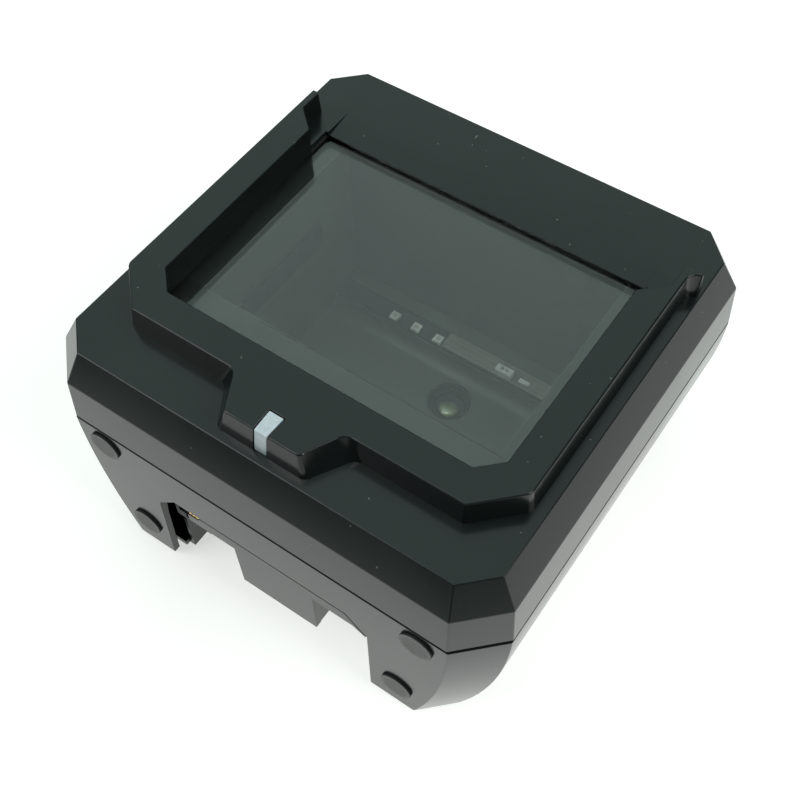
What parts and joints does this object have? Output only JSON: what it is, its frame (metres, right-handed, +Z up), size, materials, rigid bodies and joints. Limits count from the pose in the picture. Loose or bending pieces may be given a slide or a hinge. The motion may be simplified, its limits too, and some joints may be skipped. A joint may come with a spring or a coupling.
{
  "type": "passport reader",
  "caption": "Desktop full-page passport reader: octagonal housing, raised U-shaped document frame round a glass window, status light tab, and a cable arch between two legs.",
  "frame": {"origin": "centre of the bounding box at the level of the underside feet", "axes": "+X to the reader's right, +Y from the front face to the back, +Z up"},
  "size_m": [0.1734, 0.1704, 0.1067],
  "materials": {
    "casing": "fine textured matte",
    "hood_black": "matte black inside",
    "glass": "polished",
    "rubber": "matte",
    "light_pipe": "clear to milky",
    "steel": "plated",
    "circuit_board": "solder mask",
    "led_board": "pale solder mask",
    "chip": "moulded",
    "lens_metal": "black anodised",
    "lens_glass": "coated",
    "led": "white",
    "white_plastic": "moulded",
    "gold": "gold plated",
    "copper_laminate": "laminate"
  },
  "bodies": {
    "root": {"upper_housing": "casing", "lower_housing": "casing", "bottom_cover": "casing", "cable_cover": "casing", "ground_spring": "gold", "glass_platen": "glass", "glass_gasket": "rubber", "light_pipe": "light_pipe", "front_foot_1": "rubber", "front_foot_2": "rubber", "front_foot_3": "rubber", "front_foot_4": "rubber", "bottom_foot_1": "rubber", "bottom_foot_2": "rubber", "bottom_foot_3": "rubber", "bottom_foot_4": "rubber", "cover_screw_1": "steel", "cover_screw_2": "steel", "cover_screw_3": "steel", "cover_screw_4": "steel", "optical_hood": "hood_black", "camera_board": "circuit_board", "image_sensor": "chip", "lens_holder": "chip", "lens_barrel": "lens_metal", "front_lens": "lens_glass", "rear_led_board": "led_board", "page_led_1": "led", "page_led_2": "led", "page_led_3": "led", "led_connector": "white_plastic", "strip_resistor": "white_plastic", "uv_board_left": "circuit_board", "uv_board_right": "circuit_board", "main_board": "circuit_board", "processor": "chip", "memory_chip": "chip", "board_connector": "white_plastic", "buzzer": "chip", "flat_cable": "white_plastic", "data_socket": "chip", "socket_contact_1": "gold", "socket_contact_2": "gold", "socket_contact_3": "gold", "socket_contact_4": "gold", "socket_contact_5": "gold", "socket_contact_6": "gold", "socket_contact_7": "gold", "socket_contact_8": "gold", "rf_board": "circuit_board", "rf_shield": "steel", "antenna_frame": "copper_laminate", "status_board": "circuit_board", "status_led": "led", "document_sensor_1": "chip", "document_sensor_2": "chip"}
  },
  "joints": []
}
